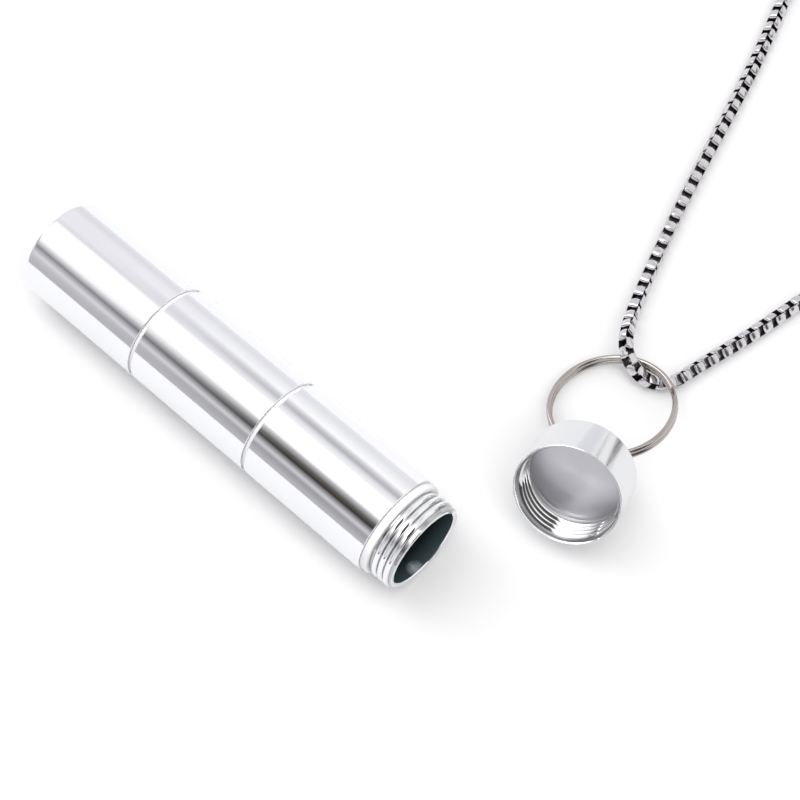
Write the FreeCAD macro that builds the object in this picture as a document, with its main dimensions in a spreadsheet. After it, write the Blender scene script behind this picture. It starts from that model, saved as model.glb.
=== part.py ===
import FreeCAD
import Part
import Sketcher
import math
import os

Vector = FreeCAD.Vector
doc = FreeCAD.newDocument("pill_fob")

# Driving dimensions, in millimetres and degrees. The origin is the centre of the open mouth,
# +X points out of the mouth along the tube, and +Z is up from the table that the tube lies on.
SIZES = (
    # Tube chambers
    ("tube_diameter", 19.05),
    ("body_length", 26.5),
    ("floor_thickness", 1.0),
    ("base_thickness", 1.6),
    ("base_fillet", 0.9),
    ("edge_chamfer", 0.15),
    # Steps from the tube's outside in to its bore, and the diameters that follow from them
    ("seal_inset", 0.375),
    ("crest_inset", 0.4),
    ("thread_depth", 0.7),
    ("seat_inset", 0.15),
    ("neck_wall", 0.55),
    ("seal_diameter", "=tube_diameter - 2 * seal_inset"),
    ("thread_diameter", "=seal_diameter - 2 * crest_inset"),
    ("seat_diameter", "=thread_diameter - 2 * (thread_depth + seat_inset)"),
    ("bore_diameter", "=seat_diameter - 2 * neck_wall"),
    # Neck and its thread
    ("neck_length", 6.2),
    ("rim_chamfer", 0.2),
    ("lead_depth", 0.1),
    ("thread_pitch", 1.27),
    ("thread_crest", 0.16),
    ("thread_flank", 30.0),
    ("thread_root_sink", 0.1),
    ("thread_start", 0.1),
    ("thread_end", 0.1),
    ("thread_clearance", 0.1),
    # Socket that a neck screws into
    ("socket_depth", 7.4),
    ("socket_relief", 1.3),
    ("socket_relief_depth", 0.1),
    # Seal ring between a shoulder and a socket
    ("seal_thickness", 1.3),
    ("seal_fillet", 0.3),
    ("seal_recess", 0.55),
    ("seal_side_clearance", 0.1),
    ("seal_bore_clearance", 0.05),
    ("seat_gap", 0.02),
    # Cap and the lug on its closed end
    ("cap_length", 9.5),
    ("cap_fillet", 0.5),
    ("cap_tilt", 31.5),
    ("cap_heading", 107.6),
    ("cap_roll", 11.0),
    ("cap_mouth_x", 12.0),
    ("cap_mouth_y", 22.1),
    ("lug_width", 5.2),
    ("lug_thickness", 2.4),
    ("lug_hole_height", 3.6),
    ("lug_hole_diameter", 2.9),
    ("lug_root", 0.4),
    # Split ring
    ("ring_diameter", 24.0),
    ("ring_wire", 0.85),
    ("ring_coil_gap", 0.03),
    ("ring_turns", 1.95),
    ("ring_heading", 110.0),
    ("ring_roll", 13.0),
    ("ring_end_angle", 50.0),
    # Box chain
    ("link_length", 2.66),
    ("link_width", 2.8),
    ("link_band_width", 1.35),
    ("link_band_thickness", 0.43),
    ("link_fillet", 0.95),
    ("link_slack", 0.275),
    ("clasp_slack", 0.08),
    ("table_gap", 0.05),
    # Coil of the length that is put away, and the band that ties it
    ("coil_x", 10.0),
    ("coil_y", 133.5),
    ("coil_diameter", 42.0),
    ("coil_step", 4.0),
    ("coil_layer_rise", 3.6),
    ("tie_width", 3.0),
    ("tie_thickness", 0.5),
    ("tie_clearance", 0.3),
    ("tie_angle", -100.0),
    # Clasp and its rings
    ("clasp_line_x", 17.6),
    ("clasp_line_y", 92.5),
    ("clasp_heading", 73.6),
    ("clasp_hook_diameter", 6.0),
    ("clasp_hook_bore", 3.4),
    ("clasp_thickness", 2.2),
    ("clasp_tail_length", 7.6),
    ("clasp_tail_width", 3.2),
    ("clasp_eye_diameter", 2.8),
    ("clasp_eye_bore", 1.4),
    ("clasp_gate_start", 10.0),
    ("clasp_gate_end", 95.0),
    ("clasp_slot", 1.4),
    ("clasp_pivot_x", 4.6),
    ("clasp_pivot_y", 0.6),
    ("clasp_pin_diameter", 0.7),
    ("clasp_pin_clearance", 0.03),
    ("lever_thickness", 0.7),
    ("lever_hub_diameter", 1.7),
    ("lever_width", 0.9),
    ("lever_length", 4.7),
    ("lever_tab_length", 2.6),
    ("lever_angle", 160.0),
    ("lever_clearance", 0.25),
    ("lever_side_gap", 0.03),
    ("spring_wire", 0.14),
    ("spring_pitch", 0.17),
    ("spring_turns", 2.5),
    ("spring_gap", 0.06),
    ("end_ring_diameter", 4.6),
    ("end_ring_wire", 0.7),
    ("jump_ring_diameter", 4.6),
    ("jump_ring_wire", 0.7),
)
sheet = doc.addObject("Spreadsheet::Sheet", "sizes")
for row, (name, value) in enumerate(SIZES, start=1):
    sheet.set(f"A{row}", name)
    sheet.set(f"B{row}", str(value))
    sheet.setAlias(f"B{row}", name)
doc.recompute()


def size(name):
    """A driving dimension as a number."""
    return float(sheet.get(name))


def cell(name):
    """A driving dimension as a term of an expression."""
    return f"sizes.{name}"


def half(name):
    return f"(sizes.{name} / 2)"


NODES = []


def new_body(label):
    body = doc.addObject("PartDesign::Body", label)
    body.Label = label
    return body


def new_sketch(body, role, name):
    """A sketch on one of the body's own origin planes."""
    sketch = body.newObject("Sketcher::SketchObject", f"{body.Label}_{name}")
    plane = [feature for feature in body.Origin.OriginFeatures if feature.Role == role][0]
    sketch.AttachmentSupport = [(plane, "")]
    sketch.MapMode = "FlatFace"
    return sketch


def pin_point(sketch, geometry, place, x, y, guess):
    """Hold one point of the sketch at the expressions x and y."""
    for kind, axis, expression, value in (("DistanceX", -2, x, guess.x), ("DistanceY", -1, y, guess.y)):
        if expression == "0":
            sketch.addConstraint(Sketcher.Constraint("PointOnObject", geometry, place, axis))
        else:
            index = sketch.addConstraint(Sketcher.Constraint(kind, -1, 1, geometry, place, value))
            sketch.setExpression(f"Constraints[{index}]", expression)


def add_outline(sketch, points):
    """A closed polygon whose corners are pairs of expressions."""
    first = sketch.GeometryCount
    count = len(points)
    turn = 2 * math.pi / count
    guesses = [Vector(50 + 20 * math.cos(i * turn), 50 + 20 * math.sin(i * turn), 0) for i in range(count)]
    for i in range(count):
        sketch.addGeometry(Part.LineSegment(guesses[i], guesses[(i + 1) % count]), False)
    for i in range(count):
        following = first + (i + 1) % count
        sketch.addConstraint(Sketcher.Constraint("Coincident", first + i, 2, following, 1))
    for i, (x, y) in enumerate(points):
        pin_point(sketch, first + i, 1, x, y, guesses[i])


def add_circle(sketch, x, y, diameter):
    index = sketch.addGeometry(Part.Circle(Vector(5, 5, 0), Vector(0, 0, 1), 1), False)
    pin_point(sketch, index, 3, x, y, Vector(5, 5, 0))
    constraint = sketch.addConstraint(Sketcher.Constraint("Diameter", index, 2))
    sketch.setExpression(f"Constraints[{constraint}]", diameter)


def revolve(body, sketch, kind="PartDesign::Revolution"):
    """Turn a sketch about its own horizontal axis."""
    feature = body.newObject(kind, f"{sketch.Label}_turned")
    feature.Profile = sketch
    feature.ReferenceAxis = (sketch, ["H_Axis"])
    feature.Angle = 360
    doc.recompute()
    return feature


def extrude(body, sketch, length, kind="PartDesign::Pad"):
    """A pad or a pocket that is symmetric about its sketch."""
    feature = body.newObject(kind, f"{sketch.Label}_solid")
    feature.Profile = sketch
    feature.Midplane = True
    feature.setExpression("Length", length)
    doc.recompute()
    return feature


def wind(body, sketch, axis, pitch, height, kind="PartDesign::AdditiveHelix"):
    """Sweep a sketch along a right-handed helix about one of its axes."""
    feature = body.newObject(kind, f"{sketch.Label}_wound")
    feature.Profile = sketch
    feature.ReferenceAxis = (sketch, [axis])
    feature.Mode = 0
    feature.HasBeenEdited = True
    feature.setExpression("Pitch", pitch)
    feature.setExpression("Height", height)
    doc.recompute()
    return feature


def soften(body, wanted, radius):
    """Fillet those edges of the body that the test picks."""
    base = body.Tip
    names = [f"Edge{i}" for i, edge in enumerate(base.Shape.Edges, start=1) if wanted(edge)]
    feature = body.newObject("PartDesign::Fillet", f"{body.Label}_fillet")
    feature.Base = (base, names)
    feature.setExpression("Radius", radius)
    doc.recompute()
    return feature


def is_circle(edge, radius, x):
    """Whether an edge is a whole circle about the X axis at that radius and place."""
    curve = edge.Curve
    if not isinstance(curve, Part.Circle):
        return False
    return abs(curve.Radius - radius) < 1e-4 and abs(curve.Center.x - x) < 1e-4


def set_place(body, position, *turns):
    """Put a body at a position, turned by (axis, degrees) pairs from the outermost to the innermost."""
    rotation = FreeCAD.Rotation()
    for axis, angle in turns:
        rotation = rotation.multiply(FreeCAD.Rotation(axis, angle))
    body.Placement = FreeCAD.Placement(position, rotation)
    NODES.append(body)


AXIS_X = Vector(1, 0, 0)
AXIS_Y = Vector(0, 1, 0)
AXIS_Z = Vector(0, 0, 1)

# Expressions that several pieces share
tube_radius = half("tube_diameter")
core_radius = f"({half('thread_diameter')} - {cell('thread_depth')})"
seat_length = f"({cell('seal_thickness')} + 2 * {cell('seat_gap')})"
tooth_slope = f"tan({cell('thread_flank')} * 1 deg)"
tooth_half = f"({cell('thread_crest')} / 2 + {cell('thread_depth')} * {tooth_slope})"
nut_radius = f"({core_radius} + {cell('thread_clearance')})"
groove_radius = f"({half('thread_diameter')} + {cell('thread_clearance')})"
relief_radius = f"({groove_radius} + {cell('socket_relief_depth')})"
recess_radius = f"({half('seal_diameter')} + {cell('seal_side_clearance')})"
rim_x = f"({cell('body_length')} + {cell('neck_length')})"
relief_x = f"({cell('socket_depth')} - {cell('socket_relief')})"

SEAM = size("seal_thickness") + 2 * size("seat_gap") - size("seal_recess")
TABLE = -size("tube_diameter") / 2


def socket_corners():
    """Inside of a socket, from its floor on the axis out to the rim, with x = 0 at its mouth."""
    return [
        (cell("socket_depth"), "0"),
        (cell("socket_depth"), relief_radius),
        (relief_x, relief_radius),
        (relief_x, nut_radius),
        (cell("seal_recess"), nut_radius),
        (cell("seal_recess"), recess_radius),
        ("0", recess_radius),
    ]


def tooth_corners(middle, grow):
    """Thread tooth about an axial middle, grown on every side by an expression."""
    root = f"({tooth_half} + {cell('thread_root_sink')} * {tooth_slope} + {grow})"
    crest = f"({cell('thread_crest')} / 2 + {grow})"
    low = f"({core_radius} - {cell('thread_root_sink')})"
    high = f"({half('thread_diameter')} + {grow})"
    return [
        (f"{middle} - {root}", low),
        (f"{middle} + {root}", low),
        (f"{middle} + {crest}", high),
        (f"{middle} - {crest}", high),
    ]


def cut_socket_thread(body):
    """Helical groove of a socket, in step with the neck that is screwed into it."""
    middle = (
        f"({cell('seal_recess')} + {cell('thread_start')} + {tooth_half}"
        f" - {cell('thread_pitch')})"
    )
    end = f"({cell('socket_depth')} - {half('socket_relief')})"
    sketch = new_sketch(body, "XY_Plane", "groove")
    add_outline(sketch, tooth_corners(middle, cell("thread_clearance")))
    wind(body, sketch, "H_Axis", cell("thread_pitch"), f"{end} - {middle}", "PartDesign::SubtractiveHelix")


def cut_neck_thread(body):
    """Helical tooth on a neck, then the cone that leads it in at the rim."""
    start = f"({cell('body_length')} + {seat_length} + {cell('thread_start')} + {tooth_half})"
    end = f"({rim_x} - {cell('thread_end')} - {tooth_half})"
    tooth = new_sketch(body, "XY_Plane", "tooth")
    add_outline(tooth, tooth_corners(start, "0"))
    wind(body, tooth, "H_Axis", cell("thread_pitch"), f"{end} - {start}")
    lead_radius = f"({core_radius} - {cell('lead_depth')})"
    lead = new_sketch(body, "XY_Plane", "lead")
    add_outline(lead, [
        (rim_x, lead_radius),
        (rim_x, tube_radius),
        (f"{rim_x} - ({tube_radius} - {lead_radius})", tube_radius),
    ])
    revolve(body, lead, "PartDesign::Groove")


def make_chamber(label, origin_x, closed):
    """A tube section with a threaded neck. Its far end is closed, or has a socket for the next neck."""
    body = new_body(label)
    bore_radius = half("bore_diameter")
    chamfer = cell("edge_chamfer")
    if closed:
        floor_x = cell("base_thickness")
        far_end = [("0", "0"), ("0", tube_radius)]
    else:
        floor_x = f"({cell('socket_depth')} + {cell('floor_thickness')})"
        far_end = socket_corners() + [("0", f"{tube_radius} - {chamfer}"), (chamfer, tube_radius)]
    near_end = [
        (f"{cell('body_length')} - {chamfer}", tube_radius),
        (cell("body_length"), f"{tube_radius} - {chamfer}"),
        (cell("body_length"), half("seat_diameter")),
        (f"{cell('body_length')} + {seat_length}", half("seat_diameter")),
        (f"{cell('body_length')} + {seat_length}", core_radius),
        (rim_x, core_radius),
        (rim_x, f"{bore_radius} + {cell('rim_chamfer')}"),
        (f"{rim_x} - {cell('rim_chamfer')}", bore_radius),
        (floor_x, bore_radius),
        (floor_x, "0"),
    ]
    wall = new_sketch(body, "XY_Plane", "wall")
    add_outline(wall, far_end + near_end)
    revolve(body, wall)
    if closed:
        soften(body, lambda edge: is_circle(edge, size("tube_diameter") / 2, 0), cell("base_fillet"))
    else:
        cut_socket_thread(body)
    cut_neck_thread(body)
    set_place(body, Vector(origin_x, 0, 0))
    return body


def make_seal(label, shoulder_x):
    """Soft ring on a neck's seat, against the shoulder of its chamber."""
    body = new_body(label)
    bore = f"({half('seat_diameter')} + {cell('seal_bore_clearance')})"
    section = new_sketch(body, "XY_Plane", "section")
    add_outline(section, [
        ("0", bore),
        (cell("seal_thickness"), bore),
        (cell("seal_thickness"), half("seal_diameter")),
        ("0", half("seal_diameter")),
    ])
    revolve(body, section)
    outer = size("seal_diameter") / 2
    soften(body, lambda edge: isinstance(edge.Curve, Part.Circle) and abs(edge.Curve.Radius - outer) < 1e-4,
           cell("seal_fillet"))
    set_place(body, Vector(shoulder_x + size("seat_gap"), 0, 0))


chamber_step = size("body_length") + SEAM
mouth_origin = -size("body_length") - size("neck_length")
for index, name in enumerate(("mouth", "middle", "base")):
    origin_x = mouth_origin - index * chamber_step
    make_chamber(f"{name}_chamber", origin_x, closed=name == "base")
    make_seal(f"{name}_seal", origin_x + size("body_length"))

# The cap lies off the tube, on the edge of its closed end, with its mouth raised. Its own X axis
# runs from the mouth back to the closed end and the lug.
cap = new_body("cap")
shell = new_sketch(cap, "XY_Plane", "shell")
add_outline(shell, socket_corners() + [
    ("0", f"{tube_radius} - {cell('edge_chamfer')}"),
    (cell("edge_chamfer"), tube_radius),
    (cell("cap_length"), tube_radius),
    (cell("cap_length"), "0"),
])
revolve(cap, shell)
soften(cap, lambda edge: is_circle(edge, size("tube_diameter") / 2, size("cap_length")), cell("cap_fillet"))
cut_socket_thread(cap)

lug_hole_x = f"({cell('cap_length')} + {cell('lug_hole_height')})"
lug_root_x = f"({cell('cap_length')} - {cell('lug_root')})"
lug_post = new_sketch(cap, "XZ_Plane", "lug_post")
add_outline(lug_post, [
    (lug_root_x, f"-{half('lug_width')}"),
    (lug_hole_x, f"-{half('lug_width')}"),
    (lug_hole_x, half("lug_width")),
    (lug_root_x, half("lug_width")),
])
extrude(cap, lug_post, cell("lug_thickness"))
lug_eye = new_sketch(cap, "XZ_Plane", "lug_eye")
add_circle(lug_eye, lug_hole_x, "0", cell("lug_width"))
extrude(cap, lug_eye, cell("lug_thickness"))
lug_hole = new_sketch(cap, "XZ_Plane", "lug_hole")
add_circle(lug_hole, lug_hole_x, "0", cell("lug_hole_diameter"))
extrude(cap, lug_hole, f"2 * {cell('lug_thickness')}", "PartDesign::Pocket")

tilt = math.radians(size("cap_tilt"))
heading = math.radians(size("cap_heading"))
cap_reach = size("cap_length") + size("lug_hole_height")
cap_back = Vector(math.cos(heading) * math.cos(tilt), math.sin(heading) * math.cos(tilt), -math.sin(tilt))
hole_height = (
    (size("tube_diameter") / 2 - size("cap_fillet")) * math.cos(tilt)
    + size("cap_fillet")
    - (size("lug_hole_height") + size("cap_fillet")) * math.sin(tilt)
    + size("table_gap")
)
cap_mouth = Vector(size("cap_mouth_x"), size("cap_mouth_y"), TABLE + hole_height + cap_reach * math.sin(tilt))
lug_centre = cap_mouth + cap_back * cap_reach
cap_pose = (
    (AXIS_Z, size("cap_heading")),
    (AXIS_Y, size("cap_tilt")),
    (AXIS_X, -size("cap_roll")),
)
set_place(cap, cap_mouth, *cap_pose)


def ring_height(slope):
    """How far the lug hole is above the ring's lowest point, when the ring falls away at this slope."""
    lean = math.acos(math.cos(slope) * math.cos(math.radians(size("ring_roll"))))
    coils = (size("ring_wire") + size("ring_coil_gap")) * size("ring_turns") / 2
    drop = ring_radius * (math.sin(slope) + math.sin(lean))
    return drop + coils * math.cos(lean) + size("ring_wire") / 2


# Two-coil ring through the lug. It falls away from the lug until its far side rests on the table,
# and the chain under its right side holds that side up.
split_ring = new_body("split_ring")
ring_radius = (size("ring_diameter") - size("ring_wire")) / 2
ring_pitch = f"({cell('ring_wire')} + {cell('ring_coil_gap')})"
ring_rise = f"({ring_pitch} * {cell('ring_turns')})"
wire_radius = f"({cell('ring_diameter')} - {cell('ring_wire')}) / 2"
wire_section = new_sketch(split_ring, "XZ_Plane", "wire")
add_circle(wire_section, wire_radius, f"-{ring_rise} / 2", cell("ring_wire"))
wind(split_ring, wire_section, "V_Axis", ring_pitch, ring_rise)
low_slope = 0.0
high_slope = math.radians(45)
for halving in range(40):
    ring_slope = (low_slope + high_slope) / 2
    if ring_height(ring_slope) < hole_height - size("table_gap"):
        low_slope = ring_slope
    else:
        high_slope = ring_slope
ring_pose = (
    (AXIS_Z, size("ring_heading")),
    (AXIS_Y, math.degrees(ring_slope)),
    (AXIS_X, -size("ring_roll")),
)
ring_away = FreeCAD.Rotation()
for axis, angle in ring_pose:
    ring_away = ring_away.multiply(FreeCAD.Rotation(axis, angle))
ring_centre = lug_centre + ring_away.multVec(AXIS_X) * ring_radius
set_place(split_ring, ring_centre, *ring_pose, (AXIS_Z, -size("ring_end_angle")))
print("ring slope", round(math.degrees(ring_slope), 2), "centre", ring_centre, "lug hole", lug_centre)

# Clasp line: from the last link of the right strand to the last link of the coil. Ring and clasp
# positions along it follow from the sizes of what they pass through.
link_bore = size("link_length") / 2 - size("link_band_thickness")


def sag(ring, depth):
    """How far a wire ring's inside curves away from its middle, over the depth of what it passes."""
    inner = size(f"{ring}_diameter") / 2 - size(f"{ring}_wire")
    return inner - math.sqrt(inner ** 2 - (size(depth) / 2) ** 2)


end_ring_near = (
    link_bore - size("end_ring_wire") / 2 - sag("end_ring", "link_band_width") - size("clasp_slack")
)
end_ring_middle = end_ring_near + (size("end_ring_diameter") - size("end_ring_wire")) / 2
hook_bar = (size("clasp_hook_diameter") - size("clasp_hook_bore")) / 2
end_ring_far = end_ring_middle + (size("end_ring_diameter") - size("end_ring_wire")) / 2
clasp_tip = (
    end_ring_far - size("end_ring_wire") / 2 - sag("end_ring", "clasp_thickness")
    - 2 * size("clasp_slack") - hook_bar
)
eye_middle = clasp_tip + size("clasp_hook_diameter") / 2 + size("clasp_tail_length")
jump_ring_near = (
    eye_middle + size("clasp_eye_bore") / 2 - size("jump_ring_wire") / 2
    - sag("jump_ring", "clasp_thickness") - size("clasp_slack")
)
jump_ring_middle = jump_ring_near + (size("jump_ring_diameter") - size("jump_ring_wire")) / 2
jump_ring_far = jump_ring_middle + (size("jump_ring_diameter") - size("jump_ring_wire")) / 2
clasp_run = (
    jump_ring_far - size("jump_ring_wire") / 2 - sag("jump_ring", "link_band_width")
    - size("clasp_slack") + link_bore
)
clasp_height = TABLE + size("end_ring_diameter") / 2 + size("table_gap")
clasp_angle = math.radians(size("clasp_heading"))
clasp_along = Vector(math.cos(clasp_angle), math.sin(clasp_angle), 0)
clasp_start = Vector(size("clasp_line_x"), size("clasp_line_y"), clasp_height)
clasp_end = clasp_start + clasp_along * clasp_run


def on_clasp_line(distance):
    return clasp_start + clasp_along * distance


def make_wire_ring(label, distance, diameter, wire):
    """Round wire ring that stands on edge in the clasp line."""
    body = new_body(label)
    section = new_sketch(body, "XY_Plane", "section")
    add_circle(section, "0", f"({cell(diameter)} - {cell(wire)}) / 2", cell(wire))
    revolve(body, section)
    set_place(body, on_clasp_line(distance), (AXIS_Z, size("clasp_heading") + 90))


make_wire_ring("clasp_end_ring", end_ring_middle, "end_ring_diameter", "end_ring_wire")
make_wire_ring("clasp_jump_ring", jump_ring_middle, "jump_ring_diameter", "jump_ring_wire")

# Hook of the clasp: a ring with a gate cut in it, a tail and an eye. Its own origin is the hook's middle.
clasp_body = new_body("clasp_body")
tail_end = cell("clasp_tail_length")
plate = new_sketch(clasp_body, "XY_Plane", "hook")
add_circle(plate, "0", "0", cell("clasp_hook_diameter"))
extrude(clasp_body, plate, cell("clasp_thickness"))
tail = new_sketch(clasp_body, "XY_Plane", "tail")
add_outline(tail, [
    (half("clasp_hook_bore"), f"-{half('clasp_tail_width')}"),
    (f"{tail_end} - {half('clasp_eye_diameter')}", f"-{half('clasp_tail_width')}"),
    (tail_end, f"-{half('clasp_eye_diameter')}"),
    (tail_end, half("clasp_eye_diameter")),
    (f"{tail_end} - {half('clasp_eye_diameter')}", half("clasp_tail_width")),
    (half("clasp_hook_bore"), half("clasp_tail_width")),
])
extrude(clasp_body, tail, cell("clasp_thickness"))
eye = new_sketch(clasp_body, "XY_Plane", "eye")
add_circle(eye, tail_end, "0", cell("clasp_eye_diameter"))
extrude(clasp_body, eye, cell("clasp_thickness"))
holes = new_sketch(clasp_body, "XY_Plane", "holes")
add_circle(holes, "0", "0", cell("clasp_hook_bore"))
add_circle(holes, tail_end, "0", cell("clasp_eye_bore"))
extrude(clasp_body, holes, f"2 * {cell('clasp_thickness')}", "PartDesign::Pocket")
gate = new_sketch(clasp_body, "XY_Plane", "gate")
gate_reach = cell("clasp_hook_diameter")


def gate_corner(angle):
    """Corner of the gate's wedge, well outside the hook, at an angle of the sheet."""
    return f"{gate_reach} * cos({cell(angle)} * 1 deg)", f"{gate_reach} * sin({cell(angle)} * 1 deg)"


add_outline(gate, [
    ("0", "0"),
    gate_corner("clasp_gate_start"),
    (gate_reach, gate_reach),
    gate_corner("clasp_gate_end"),
])
extrude(clasp_body, gate, f"2 * {cell('clasp_thickness')}", "PartDesign::Pocket")

slot = new_sketch(clasp_body, "XY_Plane", "slot")
hub_room = f"({half('lever_hub_diameter')} + {cell('lever_clearance')})"
add_outline(slot, [
    ("0", f"{cell('clasp_pivot_y')} - {hub_room}"),
    (f"{cell('clasp_pivot_x')} + {hub_room}", f"{cell('clasp_pivot_y')} - {hub_room}"),
    (f"{cell('clasp_pivot_x')} + {hub_room}", cell("clasp_hook_diameter")),
    ("0", cell("clasp_hook_diameter")),
])
extrude(clasp_body, slot, cell("clasp_slot"), "PartDesign::Pocket")
pin_bore = f"({cell('clasp_pin_diameter')} + 2 * {cell('clasp_pin_clearance')})"
pin_hole = new_sketch(clasp_body, "XY_Plane", "pin_hole")
add_circle(pin_hole, cell("clasp_pivot_x"), cell("clasp_pivot_y"), pin_bore)
extrude(clasp_body, pin_hole, f"2 * {cell('clasp_thickness')}", "PartDesign::Pocket")
hook_middle = on_clasp_line(clasp_tip + size("clasp_hook_diameter") / 2)
set_place(clasp_body, hook_middle, (AXIS_Z, size("clasp_heading")))

# Gate lever in the hook's slot. Its own X axis runs from the pivot to the gate's free end.
clasp_turn = clasp_body.Placement.Rotation
pivot = hook_middle + clasp_turn.multVec(Vector(size("clasp_pivot_x"), size("clasp_pivot_y"), 0))
lever_low = -size("clasp_slot") / 2 + size("lever_side_gap")
clasp_lever = new_body("clasp_lever")
hub = new_sketch(clasp_lever, "XY_Plane", "hub")
add_circle(hub, "0", "0", cell("lever_hub_diameter"))
extrude(clasp_lever, hub, cell("lever_thickness"))
bar = new_sketch(clasp_lever, "XY_Plane", "bar")
add_outline(bar, [
    ("0", f"-{half('lever_width')}"),
    (cell("lever_length"), f"-{half('lever_width')}"),
    (cell("lever_length"), half("lever_width")),
    ("0", half("lever_width")),
])
extrude(clasp_lever, bar, cell("lever_thickness"))
tab = new_sketch(clasp_lever, "XY_Plane", "tab")
add_outline(tab, [
    (f"-{half('lever_width')}", "0"),
    (f"-{half('lever_width')}", f"-{cell('lever_tab_length')}"),
    (half("lever_width"), f"-{cell('lever_tab_length')}"),
    (half("lever_width"), "0"),
])
extrude(clasp_lever, tab, cell("lever_thickness"))
lever_bore = new_sketch(clasp_lever, "XY_Plane", "bore")
add_circle(lever_bore, "0", "0", pin_bore)
extrude(clasp_lever, lever_bore, f"2 * {cell('lever_thickness')}", "PartDesign::Pocket")
lever_middle = pivot + Vector(0, 0, lever_low + size("lever_thickness") / 2)
set_place(clasp_lever, lever_middle, (AXIS_Z, size("clasp_heading") + size("lever_angle")))

# Rivet through the cheeks of the slot
clasp_pin = new_body("clasp_pin")
rivet = new_sketch(clasp_pin, "XY_Plane", "rivet")
add_circle(rivet, "0", "0", cell("clasp_pin_diameter"))
extrude(clasp_pin, rivet, cell("clasp_thickness"))
set_place(clasp_pin, pivot)

# Torsion spring wound on the rivet, in the slot's room above the lever
clasp_spring = new_body("clasp_spring")
spring_rise = f"({cell('spring_pitch')} * {cell('spring_turns')})"
spring_radius = f"({half('clasp_pin_diameter')} + {cell('spring_gap')} + {half('spring_wire')})"
spring_section = new_sketch(clasp_spring, "XZ_Plane", "wire")
add_circle(spring_section, spring_radius, f"-{spring_rise} / 2", cell("spring_wire"))
wind(clasp_spring, spring_section, "V_Axis", cell("spring_pitch"), spring_rise)
spring_middle = (lever_low + size("lever_thickness") + size("clasp_slot") / 2) / 2
set_place(clasp_spring, pivot + Vector(0, 0, spring_middle), (AXIS_Z, size("clasp_heading")))

# One link of the box chain: a flat band bent into a rounded rectangle
chain_link = new_body("chain_link")
frame = new_sketch(chain_link, "XY_Plane", "frame")
for inset in ("0", cell("link_band_thickness")):
    long = f"({half('link_length')} - {inset})"
    wide = f"({half('link_width')} - {inset})"
    add_outline(frame, [(f"-{long}", f"-{wide}"), (long, f"-{wide}"), (long, wide), (f"-{long}", wide)])
extrude(chain_link, frame, cell("link_band_width"))


def is_outer_corner(edge):
    """Whether an edge of the link runs across the band at one of its outer corners."""
    low, high = (vertex.Point for vertex in edge.Vertexes)
    across = abs(low.x - high.x) + abs(low.y - high.y) < 1e-4
    return across and abs(abs(low.x) - size("link_length") / 2) < 1e-4


soften(chain_link, is_outer_corner, cell("link_fillet"))

# Route of the chain: x, y and lift above where it lies flat on the table. It starts at the clasp,
# comes in along the right strand, dips under the ring's wire, crosses the ring, goes out over the
# wire and away along the left strand.
RIGHT_ROUTE = (
    (16.4, 88.4, 0.75),
    (14.8, 83.0, 0.0),
    (13.0, 73.5, 0.0),
    (10.6, 64.5, 0.0),
    (9.45, 59.55, 0.0),
)
RING_ROUTE = (
    (9.15, 57.6, 0.0),
    (8.35, 55.75, 0.0),
    (6.95, 54.25, 0.0),
    (5.4, 53.15, 0.5),
    (3.95, 52.55, 1.6),
    (2.1, 52.5, 2.75),
    (0.05, 53.25, 3.6),
    (-1.75, 54.9, 4.05),
    (-3.15, 57.3, 3.5),
    (-4.55, 59.9, 1.45),
)
LEFT_ROUTE = (
    (-6.4, 64.2, 0.4),
    (-8.9, 71.2, 0.0),
    (-11.8, 79.8, 0.0),
    (-14.3, 87.6, 0.0),
    (-17.7, 99.8, 0.0),
    (-21.1, 112.2, 0.0),
    (-24.8, 124.4, 0.0),
    (-28.6, 135.4, 0.0),
    (-31.4, 144.5, 0.1),
    (-28.6, 153.0, 0.3),
    (-20.5, 157.4, 0.5),
    (-10.5, 158.2, 0.7),
    (0.0, 156.8, 0.8),
)
lying = TABLE + size("table_gap") + size("link_width") / 2


def on_table(points):
    return [Vector(x, y, lying + lift) for x, y, lift in points]


# The length that is put away: it spirals in on the table, climbs a layer over half a turn and
# spirals out again, clockwise from above, until it points along the clasp line.
coil_centre = Vector(size("coil_x"), size("coil_y"), lying + size("tie_thickness") + size("tie_clearance"))
coil_radius = size("coil_diameter") / 2
to_clasp = clasp_end - coil_centre
entry_angle = math.pi / 2
clasp_bearing = math.atan2(to_clasp.y, to_clasp.x)
exit_angle = clasp_bearing + math.acos(coil_radius / math.hypot(to_clasp.x, to_clasp.y))
coil_turns = 3 + (entry_angle - exit_angle) / (2 * math.pi)
inner_turn = coil_turns / 2
CLIMB_TURNS = 0.5
COIL_POINTS_PER_TURN = 12
point_angle = 2 * math.pi / COIL_POINTS_PER_TURN
corner_reach = 4 / (3 + math.cos(point_angle))


def coil_point(turns):
    """Corner of the coil's control polygon after that many turns."""
    inward = inner_turn - abs(turns - inner_turn)
    radius = (coil_radius - size("coil_step") * inward) * corner_reach
    rise = size("coil_layer_rise") * min(max((turns - inner_turn) / CLIMB_TURNS + 0.5, 0), 1)
    angle = entry_angle - turns * 2 * math.pi
    return coil_centre + Vector(radius * math.cos(angle), radius * math.sin(angle), rise)


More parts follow.
